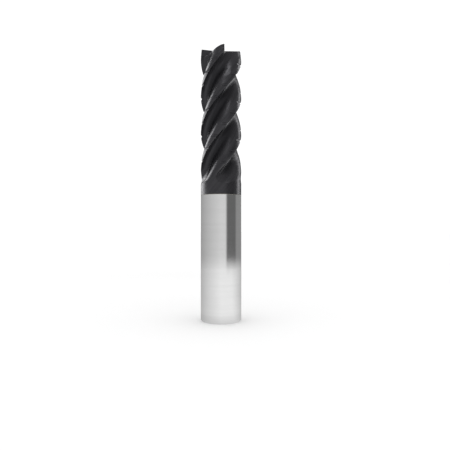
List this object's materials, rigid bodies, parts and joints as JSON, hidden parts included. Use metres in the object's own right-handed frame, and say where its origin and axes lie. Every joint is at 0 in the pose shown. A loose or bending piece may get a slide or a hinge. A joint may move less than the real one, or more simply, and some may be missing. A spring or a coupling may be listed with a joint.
{
  "type": "end mill",
  "caption": "Long centre-cutting end mill with a fluted, coated carbide head brazed into a plain ground shank; cuts slots and pockets in a milling machine.",
  "frame": {"origin": "centre of the shank's flat end face", "axes": "+Z along the tool's axis from the shank end to the cutting end; X and Y across it"},
  "size_m": [0.019, 0.019, 0.127],
  "materials": {
    "shank": "finely ground and polished steel, faint rings around the axis",
    "braze": "dull silver-braze alloy, ground flush",
    "cutting_head": "glossy dark coating over ground carbide, grinding lines along the flutes"
  },
  "bodies": {
    "root": {"shank": "shank", "braze_joint": "braze", "cutting_head": "cutting_head"}
  },
  "joints": []
}
